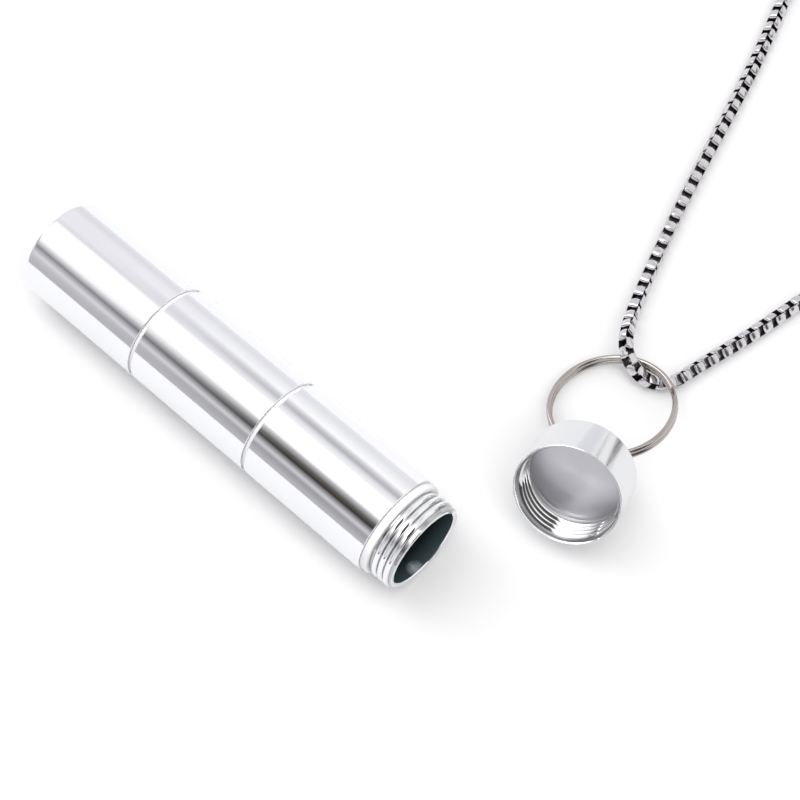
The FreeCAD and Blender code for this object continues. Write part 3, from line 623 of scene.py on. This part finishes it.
def add_turned(
    material, shader, colour, shades, origin, axis_turn, grooves, roughness, spread, depth,
):
    """Wire the lathe's grooves into a material, whose own axis is X after the Mapping node. The shades
    are painted shade: the share of its colour that a thread's root and crest keep, by radius. A
    ramp's stops go from 0 to 1, so the radius is scaled."""
    tree = material.node_tree
    place = tree.nodes.new("ShaderNodeTexCoord")
    mapping = tree.nodes.new("ShaderNodeMapping")
    mapping.vector_type = "TEXTURE"
    mapping.inputs["Location"].default_value = origin
    mapping.inputs["Rotation"].default_value = axis_turn
    parts = tree.nodes.new("ShaderNodeSeparateXYZ")
    flat = tree.nodes.new("ShaderNodeCombineXYZ")
    radius = tree.nodes.new("ShaderNodeVectorMath")
    radius.operation = "LENGTH"
    numbers = {"Grooves per Metre": grooves, "Roughness": roughness, "Spread": spread}
    turned = place_surface(tree, shader, turned_surface, numbers, depth)
    tree.links.new(place.outputs["Object"], mapping.inputs["Vector"])
    tree.links.new(mapping.outputs["Vector"], parts.inputs["Vector"])
    tree.links.new(parts.outputs["Y"], flat.inputs["Y"])
    tree.links.new(parts.outputs["Z"], flat.inputs["Z"])
    tree.links.new(flat.outputs["Vector"], radius.inputs[0])
    tree.links.new(parts.outputs["X"], turned.inputs["Axial Place"])
    tree.links.new(radius.outputs["Value"], turned.inputs["Radius"])
    ramp_place = tree.nodes.new("ShaderNodeMath")
    ramp_place.operation = "MULTIPLY"
    ramp_place.inputs[1].default_value = RAMP_SCALE
    painted_shade_ramp = tree.nodes.new("ShaderNodeValToRGB")
    fill_ramp(painted_shade_ramp, [(RAMP_SCALE * at_radius, (share,) * 3) for at_radius, share in shades])
    tones = two_tones(tree, colour, 0.96)
    tree.links.new(radius.outputs["Value"], ramp_place.inputs[0])
    tree.links.new(ramp_place.outputs["Value"], painted_shade_ramp.inputs["Fac"])
    tree.links.new(turned.outputs["Tone"], tones.inputs["Factor"])
    shaded = product(tree, tones.outputs["Result"], painted_shade_ramp.outputs["Color"])
    tree.links.new(shaded, shader.inputs["Base Color"])


aluminium, aluminium_shader = new_finish("polished_aluminium")
aluminium_shader.inputs["Metallic"].default_value = 1
# Painted shade: the neck's thread roots are darker, by radius.
neck_shades = ((0.0, 1.0), (0.0081, 1.0), (0.00824, 0.55), (0.00836, 0.6), (0.0086, 1.0))
add_turned(
    aluminium, aluminium_shader, colour=(0.915, 0.92, 0.925), shades=neck_shades, origin=(0, 0, 0),
    axis_turn=(0, 0, 0), grooves=9000, roughness=0.05, spread=0.04, depth=0.0000004,
)

lining, lining_shader = new_finish("dark_bore_coating")
lining_shader.inputs["Specular IOR Level"].default_value = 0.5
coat = add_uneven(
    lining, lining_shader, colour=(0.05, 0.075, 0.082), grain=700,
    roughness=0.2, spread=0.06, depth=0.00001,
)
# The bore is painted darker further from the rim, a painted shade, and a pale streaky patch inside the
# mouth's lower side is a painted highlight.
lining_tree = lining.node_tree
lining_place = lining_tree.nodes.new("ShaderNodeTexCoord")
lining_parts = lining_tree.nodes.new("ShaderNodeSeparateXYZ")
depth_shade = lining_tree.nodes.new("ShaderNodeMapRange")
depth_shade.inputs["From Min"].default_value = -0.0034
depth_shade.inputs["From Max"].default_value = -0.0004
depth_shade.inputs["To Min"].default_value = 0.25
highlight_spot = lining_tree.nodes.new("ShaderNodeVectorMath")
highlight_spot.operation = "DISTANCE"
highlight_spot.inputs[1].default_value = (-0.0008, -0.0013, -0.0072)
highlight_falloff = lining_tree.nodes.new("ShaderNodeMapRange")
highlight_falloff.inputs["From Min"].default_value = 0.0017
highlight_falloff.inputs["From Max"].default_value = 0.0003
streaks = lining_tree.nodes.new("ShaderNodeTexNoise")
streaks.inputs["Scale"].default_value = 1300
streaks.inputs["Detail"].default_value = 3
patchy = lining_tree.nodes.new("ShaderNodeMath")
patchy.operation = "MULTIPLY"
painted_highlight = lining_tree.nodes.new("ShaderNodeMix")
painted_highlight.data_type = "RGBA"
painted_highlight.inputs["B"].default_value = (0.62, 0.7, 0.74, 1)
lining_tree.links.new(lining_place.outputs["Object"], lining_parts.inputs["Vector"])
lining_tree.links.new(lining_parts.outputs["X"], depth_shade.inputs["Value"])
deepened = product(lining_tree, coat.outputs["Result"], depth_shade.outputs["Result"])
lining_tree.links.new(lining_place.outputs["Object"], highlight_spot.inputs[0])
lining_tree.links.new(highlight_spot.outputs["Value"], highlight_falloff.inputs["Value"])
lining_tree.links.new(lining_place.outputs["Object"], streaks.inputs["Vector"])
lining_tree.links.new(highlight_falloff.outputs["Result"], patchy.inputs[0])
lining_tree.links.new(streaks.outputs["Fac"], patchy.inputs[1])
lining_tree.links.new(patchy.outputs["Value"], painted_highlight.inputs["Factor"])
lining_tree.links.new(deepened, painted_highlight.inputs["A"])
lining_tree.links.new(painted_highlight.outputs["Result"], lining_shader.inputs["Base Color"])


def line_bore(piece, floor_x, rim_x):
    """Give the faces of a chamber's bore their dark coating."""
    piece.data.materials.append(lining)
    for face in piece.data.polygons:
        away = math.hypot(face.center.y, face.center.z)
        inside = floor_x - FLOOR_MARGIN < face.center.x < rim_x - RIM_MARGIN
        if away < BORE_RADIUS + BORE_MARGIN and inside:
            face.material_index = 1


for order, name in enumerate(("mouth", "middle", "base")):
    origin = -BODY_LENGTH - NECK_LENGTH - order * CHAMBER_STEP
    closed = name == "base"
    piece = chamber(name + "_tube", origin, closed)
    piece.data.materials.append(aluminium)
    line_bore(piece, origin + bore_floor(closed), origin + BODY_LENGTH + NECK_LENGTH)
    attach(piece, name + "_chamber")
    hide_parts(name + "_chamber")

# Seals: pale soft rings on the seat of each neck, against the chamber's shoulder. They show as a
# matt band in the seams.
seal, seal_shader = new_finish("pale_seal")
add_uneven(
    seal, seal_shader, colour=(0.82, 0.82, 0.815), grain=2600,
    roughness=0.5, spread=0.12, depth=0.000012,
)
SEAL_RADIUS = 0.00915
SEAL_THICKNESS = 0.0013
SEAT_GAP = 0.00002
SEAT_CLEARANCE = 0.00005
SEAL_ROUNDING = 0.0003
SEAL_SHOULDER_EDGE = 0.0001
for order, (name, body) in enumerate((
    ("mouth_seal", "mouth_chamber"),
    ("middle_seal", "middle_seal"),
    ("base_seal", "base_seal"),
)):
    shoulder = -NECK_LENGTH - order * CHAMBER_STEP
    near = shoulder + SEAT_GAP
    far = near + SEAL_THICKNESS
    tight = SEAL_SHOULDER_EDGE
    wide = SEAL_ROUNDING
    piece = lathe(
        name + "_ring",
        [(near, SEAT_RADIUS + SEAT_CLEARANCE)]
        + arc(near + tight, SEAL_RADIUS - tight, tight, 180, 90, 4)
        + arc(far - wide, SEAL_RADIUS - wide, wide, 90, 0, 4)
        + [(far, SEAT_RADIUS + SEAT_CLEARANCE)],
        closed=True,
    )
    finish_metal(piece, width=0.00002)
    piece.data.materials.append(seal)
    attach(piece, body)
    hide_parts(name)

# Screw cap: turned from the same bar as the tube, threaded inside, with a lug on its closed end
# that the split ring goes through. It lies off the tube with its mouth raised.
CAP_LENGTH = 0.0095
CAP_MOUTH = Vector((0.012, 0.0221, 0.00342256))
CAP_TURN = (
    Matrix.Rotation(math.radians(107.6), 4, "Z")
    @ Matrix.Rotation(math.radians(31.5), 4, "Y")
    @ Matrix.Rotation(math.radians(-11), 4, "X")
)
LUG_WIDTH = 0.0052
LUG_THICKNESS = 0.0024
LUG_HOLE_HEIGHT = 0.0036
LUG_HOLE_RADIUS = 0.00145
LUG_ROOT_DEPTH = 0.0004
GROOVE_RADIUS = 0.00885
MOUTH_RADIUS = 0.0093
MOUTH_DEPTH = 0.00068
RELIEF_LENGTH = 0.0013
CAP_ROUNDING = 0.0005
RIDGE_START = 0.0006
RIDGE_FOOT = 0.0006
RIDGE_CREST = 0.00006
RIDGE_SINK = 0.0001
RIDGE_END = 0.00085
LEAD_GAP = 0.00003
LEAD_SLOPE = 0.66
FLOOR_TOLERANCE = 0.00001
cap = lathe(
    "cap_shell",
    [
        (SOCKET_DEPTH, 0.0),
        (SOCKET_DEPTH, RELIEF_RADIUS),
        (SOCKET_DEPTH - RELIEF_LENGTH, RELIEF_RADIUS),
        (SOCKET_DEPTH - RELIEF_LENGTH, GROOVE_RADIUS),
        (MOUTH_DEPTH, GROOVE_RADIUS),
        (0, MOUTH_RADIUS),
        (0, TUBE_RADIUS - EDGE),
        (EDGE, TUBE_RADIUS),
    ]
    + arc(CAP_LENGTH - CAP_ROUNDING, TUBE_RADIUS - CAP_ROUNDING, CAP_ROUNDING, 90, 0, 6)
    + [(CAP_LENGTH, 0.0)],
)
finish_metal(cap, width=0.00004)
cap_thread = helix(
    "cap_thread",
    [
        (RIDGE_START - RIDGE_FOOT, GROOVE_RADIUS + RIDGE_SINK),
        (RIDGE_START - RIDGE_CREST, NUT_RADIUS),
        (RIDGE_START + RIDGE_CREST, NUT_RADIUS),
        (RIDGE_START + RIDGE_FOOT, GROOVE_RADIUS + RIDGE_SINK),
    ],
    SOCKET_DEPTH - RIDGE_END - RIDGE_START,
    PITCH,
)
for vertex in cap_thread.data.vertices:
    lead = MOUTH_RADIUS + LEAD_GAP - LEAD_SLOPE * max(vertex.co.x, 0)
    if math.hypot(vertex.co.y, vertex.co.z) < lead:
        move_to_radius(vertex, lead)
finish_metal(cap_thread, width=0.00003)
join_to(cap, cap_thread)
lug_root = CAP_LENGTH - LUG_ROOT_DEPTH
lug_centre = CAP_LENGTH + LUG_HOLE_HEIGHT
lug = wire_outline(
    "lug",
    [(lug_root, -LUG_WIDTH / 2)]
    + arc(lug_centre, 0, LUG_WIDTH / 2, -90, 90, 32)
    + [(lug_root, LUG_WIDTH / 2)],
)
bpy.ops.mesh.select_all(action="SELECT")
bpy.ops.mesh.edge_face_add()
bpy.ops.mesh.extrude_region_move(TRANSFORM_OT_translate={"value": (0, 0, LUG_THICKNESS)})
bpy.ops.mesh.select_all(action="SELECT")
bpy.ops.transform.translate(value=(0, 0, -LUG_THICKNESS / 2))
bpy.ops.transform.rotate(value=math.pi / 2, orient_axis="X", center_override=(0, 0, 0))
bpy.ops.mesh.normals_make_consistent(inside=False)
bpy.ops.object.mode_set(mode="OBJECT")
bpy.ops.object.select_all(action="DESELECT")
bpy.ops.mesh.primitive_cylinder_add(
    vertices=48, radius=LUG_HOLE_RADIUS, depth=2 * LUG_THICKNESS,
    location=(lug_centre, 0, 0), rotation=(math.pi / 2, 0, 0),
)
drill = bpy.context.object
bpy.context.view_layer.objects.active = lug
hole = lug.modifiers.new("hole", "BOOLEAN")
hole.operation = "DIFFERENCE"
hole.object = drill
bpy.ops.object.modifier_apply(modifier="hole")
bpy.data.meshes.remove(drill.data)
finish_metal(lug, width=0.00025)
join_to(cap, lug)
cap_floor_faces = [
    face.index for face in cap.data.polygons
    if abs(face.center.x - SOCKET_DEPTH) < FLOOR_TOLERANCE
    and math.hypot(face.center.y, face.center.z) < RELIEF_RADIUS
]
cap.data.transform(Matrix.Translation(CAP_MOUTH) @ CAP_TURN)
cap_metal, cap_shader = new_finish("polished_cap_aluminium")
cap_shader.inputs["Metallic"].default_value = 1
# Painted shade: darker in the grooves of the cap's thread, and a little darker on its outer wall.
cap_shades = (
    (0.0, 1.0), (0.0084, 1.0), (0.0087, 0.75), (0.0089, 0.75), (0.0092, 1.0), (0.0094, 0.85),
)
add_turned(
    cap_metal, cap_shader, colour=(0.915, 0.92, 0.925), shades=cap_shades, origin=CAP_MOUTH,
    axis_turn=CAP_TURN.to_euler(), grooves=9000, roughness=0.06, spread=0.05, depth=0.0000006,
)
cap.data.materials.append(cap_metal)
cap_floor, cap_floor_shader = new_finish("turned_cap_floor")
cap_floor_shader.inputs["Metallic"].default_value = 1
cap_floor_shader.inputs["Anisotropic"].default_value = 0.8
# Painted shade: the cap's floor is darker towards its edge, where it meets the wall.
floor_shades = ((0.0, 1.0), (0.0081, 1.0), (0.0087, 0.9))
add_turned(
    cap_floor, cap_floor_shader, colour=(0.77, 0.76, 0.79), shades=floor_shades, origin=CAP_MOUTH,
    axis_turn=CAP_TURN.to_euler(), grooves=6000, roughness=0.38, spread=0.1, depth=0.000002,
)
cap_floor_tree = cap_floor.node_tree
cap_floor_place = cap_floor_tree.nodes.new("ShaderNodeTexCoord")
outward = cap_floor_tree.nodes.new("ShaderNodeVectorMath")
outward.operation = "SUBTRACT"
outward.inputs[1].default_value = CAP_MOUTH
around = cap_floor_tree.nodes.new("ShaderNodeVectorMath")
around.operation = "CROSS_PRODUCT"
around.inputs[0].default_value = CAP_TURN.to_3x3() @ Vector((1, 0, 0))
in_world = cap_floor_tree.nodes.new("ShaderNodeVectorTransform")
in_world.convert_from = "OBJECT"
in_world.convert_to = "WORLD"
cap_floor_tree.links.new(cap_floor_place.outputs["Object"], outward.inputs[0])
cap_floor_tree.links.new(outward.outputs["Vector"], around.inputs[1])
cap_floor_tree.links.new(around.outputs["Vector"], in_world.inputs["Vector"])
cap_floor_tree.links.new(in_world.outputs["Vector"], cap_floor_shader.inputs["Tangent"])
cap.data.materials.append(cap_floor)
for index in cap_floor_faces:
    cap.data.polygons[index].material_index = 1
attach(cap, "cap")
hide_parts("cap")

# Split ring: two coils of nickel-plated spring wire that lie on each other, with the step from one
# coil to the other beside the wire's end. It goes through the cap's lug and lies on the table.
RING_RADIUS = 0.011
RING_WIRE = 0.001
RING_CENTRE = Vector((0.0045888, 0.0438297, -0.0051837))
RING_TURN = (
    Matrix.Rotation(math.radians(110), 4, "Z")
    @ Matrix.Rotation(math.radians(8.4889), 4, "Y")
    @ Matrix.Rotation(math.radians(-13), 4, "X")
)
WIRE_START = -55
WIRE_TURNS = 1.95
WIRE_STEPS = 96
CROSSING_START = 0.93
CROSSING_LENGTH = 0.08
RING_COIL_GAP = 0.00003
RING_LIFT = (RING_WIRE + RING_COIL_GAP) / 2
ring_corners = []
for i in range(WIRE_STEPS + 1):
    turned = WIRE_TURNS * i / WIRE_STEPS
    angle = math.radians(WIRE_START + 360 * turned)
    step = min(max((turned - CROSSING_START) / CROSSING_LENGTH, 0), 1)
    height = RING_LIFT * (1 - 2 * step * step * (3 - 2 * step))
    away = Vector((RING_RADIUS * math.cos(angle), RING_RADIUS * math.sin(angle), height))
    ring_corners.append(RING_CENTRE + RING_TURN.to_3x3() @ away)
ring_curve = smooth_curve("ring_wire", ring_corners, order=4, resolution=3)
ring_curve.bevel_depth = RING_WIRE / 2
ring_curve.bevel_resolution = 5
ring_curve.use_fill_caps = True
ring = bpy.data.objects.new("wire_ring", mesh_of_curve(ring_curve))
bpy.context.scene.collection.objects.link(ring)
pick_only(ring)
bpy.ops.object.shade_smooth_by_angle(angle=math.radians(50))
nickel, nickel_shader = new_finish("nickel_plate")
nickel_shader.inputs["Metallic"].default_value = 1
add_uneven(
    nickel, nickel_shader, colour=(0.5, 0.46, 0.435), grain=1500,
    roughness=0.14, spread=0.06, depth=0.000004,
)
ring.data.materials.append(nickel)
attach(ring, "necklace")
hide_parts("split_ring")

# Clasp and the tie of the coil: small stamped and wire parts out of the picture, as the frame has
# them, in the chain's stainless, spring steel and a pale band.
for name in ("clasp_body", "clasp_lever", "clasp_pin", "clasp_jump_ring", "clasp_end_ring"):
    nodes[name].data.materials.clear()
    nodes[name].data.materials.append(stainless)
spring_steel, spring_shader = new_finish("spring_steel")
spring_shader.inputs["Metallic"].default_value = 1
add_uneven(
    spring_steel, spring_shader, colour=(0.47, 0.46, 0.45), grain=3000,
    roughness=0.3, spread=0.08, depth=0.000004,
)
nodes["clasp_spring"].data.materials.clear()
nodes["clasp_spring"].data.materials.append(spring_steel)
tie_band, tie_shader = new_finish("pale_tie_band")
add_uneven(
    tie_band, tie_shader, colour=(0.75, 0.74, 0.72), grain=1800,
    roughness=0.6, spread=0.15, depth=0.00002,
)
nodes["coil_tie"].data.materials.clear()
nodes["coil_tie"].data.materials.append(tie_band)

# Floor: a sheet of white paper that the fob lies on. It is over-exposed, and only its deeper shadows
# show. The metal sees it a little darker than the camera does.
PAPER_MIDDLE = 1.44
PAPER_WIDTH = 3
PAPER_DEPTH = 3.2
PAPER_GAP = 0.00002
bpy.ops.object.select_all(action="DESELECT")
bpy.ops.mesh.primitive_plane_add(size=1, location=(0, PAPER_MIDDLE, TABLE - PAPER_GAP))
floor = bpy.context.object
floor.name = "floor"
floor.scale = (PAPER_WIDTH, PAPER_DEPTH, 1)
bpy.ops.object.transform_apply(location=True, rotation=False, scale=True)
paper, paper_shader = new_finish("white_paper")
paper_shader.inputs["Roughness"].default_value = 0.9
paper_shader.inputs["Specular IOR Level"].default_value = 0.0
paper_tree = paper.node_tree
paper_ray = paper_tree.nodes.new("ShaderNodeLightPath")
white = paper_tree.nodes.new("ShaderNodeMix")
white.data_type = "RGBA"
white.inputs["A"].default_value = (0.69, 0.69, 0.7, 1)
white.inputs["B"].default_value = (0.71, 0.71, 0.71, 1)
paper_tree.links.new(paper_ray.outputs["Is Camera Ray"], white.inputs["Factor"])
paper_tree.links.new(white.outputs["Result"], paper_shader.inputs["Base Color"])
floor.data.materials.append(paper)

# Light: a white tent with a bright panel overhead and darker gaps between its walls, which give the
# polished tube its stripes. Reflections also see a dark doorway from overhead towards +X, which
# darkens one side of the threads; it takes no light from the paper.
world = bpy.data.worlds.new("white_tent")
world.use_nodes = True
bpy.context.scene.world = world
tent = world.node_tree
direction = tent.nodes.new("ShaderNodeTexCoord")
heading = tent.nodes.new("ShaderNodeSeparateXYZ")
tent.links.new(direction.outputs["Generated"], heading.inputs["Vector"])
ray = tent.nodes.new("ShaderNodeLightPath")
PANEL = 3.3
PLAIN = (1.0, 1.0, 1.0)
COOL = (0.985, 0.98, 1.035)
WARM = (1.1, 0.98, 0.92)


def reckon(operation, first, second):
    """A Math node's result from two sockets, or from a socket and a number."""
    node = tent.nodes.new("ShaderNodeMath")
    node.operation = operation
    tent.links.new(first, node.inputs[0])
    if isinstance(second, float):
        node.inputs[1].default_value = second
    else:
        tent.links.new(second, node.inputs[1])
    return node.outputs["Value"]


def share_between(value, start, stop):
    """How far a value is on its way from start to stop, from 0 to 1."""
    node = tent.nodes.new("ShaderNodeMapRange")
    node.inputs["From Min"].default_value = start
    node.inputs["From Max"].default_value = stop
    tent.links.new(value, node.inputs["Value"])
    return node.outputs["Result"]


def blend(share, first, second):
    """A mix of two colours by a share; the second may be a plain colour."""
    node = tent.nodes.new("ShaderNodeMix")
    node.data_type = "RGBA"
    tent.links.new(share, node.inputs["Factor"])
    tent.links.new(first, node.inputs["A"])
    if isinstance(second, tuple):
        node.inputs["B"].default_value = second
    else:
        tent.links.new(second, node.inputs["B"])
    return node.outputs["Result"]


def tent_walls(bands):
    """Brightness of the tent by the angle from overhead, towards +Y, in degrees."""
    stops = []
    for angle, level in bands:
        tint = WARM if level < 0.2 else COOL if level < 1 else PLAIN
        stops.append((angle / 180 + 0.5, [level * part for part in tint]))
    walls = tent.nodes.new("ShaderNodeValToRGB")
    fill_ramp(walls, stops)
    tent.links.new(wall_place, walls.inputs["Fac"])
    return walls.outputs["Color"]


wall_angle = reckon("ARCTAN2", heading.outputs["Y"], heading.outputs["Z"])
wall_place = share_between(wall_angle, -math.pi / 2, math.pi / 2)
far_walls = tent_walls((
    (-90, 0.52), (-83, 0.54), (-75, 0.6), (-67, 0.76), (-60, 0.54), (-52, 0.28), (-44, 0.68),
    (-36, 1.1), (-28, 1.12), (-20, PANEL), (4, PANEL), (12, 1.1), (19, 0.8), (28, 0.92), (60, 0.92),
    (76, 0.8), (90, 0.92),
))
near_walls = tent_walls((
    (-90, 0.52), (-83, 0.44), (-75, 0.37), (-67, 0.68), (-60, 0.34), (-53, 0.03), (-44, 0.12),
    (-35, 0.5), (-29, 1.08), (-20, PANEL), (2, PANEL), (9, 1.05), (20, 0.88), (29, 0.5), (36, 0.66),
    (46, 1.1), (76, 0.85), (90, 0.92),
))
front_walls = tent_walls((
    (-90, 0.9), (-74, 0.85), (-62, 0.62), (-52, 0.42), (-44, 0.6), (-34, 1.1), (-20, PANEL),
    (4, PANEL), (12, 1.1), (26, 0.8), (40, 1.0), (90, 1.0),
))
# The tube's far and near ends see different walls, and what faces the mouth sees the front ones.
tube_walls = blend(share_between(heading.outputs["X"], -0.44, -0.335), far_walls, near_walls)
walls = blend(share_between(heading.outputs["X"], -0.265, -0.2), tube_walls, front_walls)
door_height = share_between(heading.outputs["X"], -0.1, 0.04)
door_left = share_between(heading.outputs["Y"], 0.14, 0.09)
door_right = share_between(heading.outputs["Y"], -0.45, -0.33)
door = reckon("MULTIPLY", door_height, reckon("MULTIPLY", door_left, door_right))
mirrored_door = reckon("MULTIPLY", door, ray.outputs["Is Glossy Ray"])
under_table = reckon("LESS_THAN", heading.outputs["Z"], 0.0)
past_table = reckon("GREATER_THAN", heading.outputs["X"], -0.15)
dark = reckon("MAXIMUM", mirrored_door, reckon("MULTIPLY", under_table, past_table))
room = blend(dark, walls, (0.075, 0.07, 0.07, 1))
backdrop = blend(ray.outputs["Is Camera Ray"], room, (1, 1, 1, 1))
tent.links.new(backdrop, tent.nodes["Background"].inputs["Color"])
bpy.context.scene.view_settings.view_transform = "Standard"
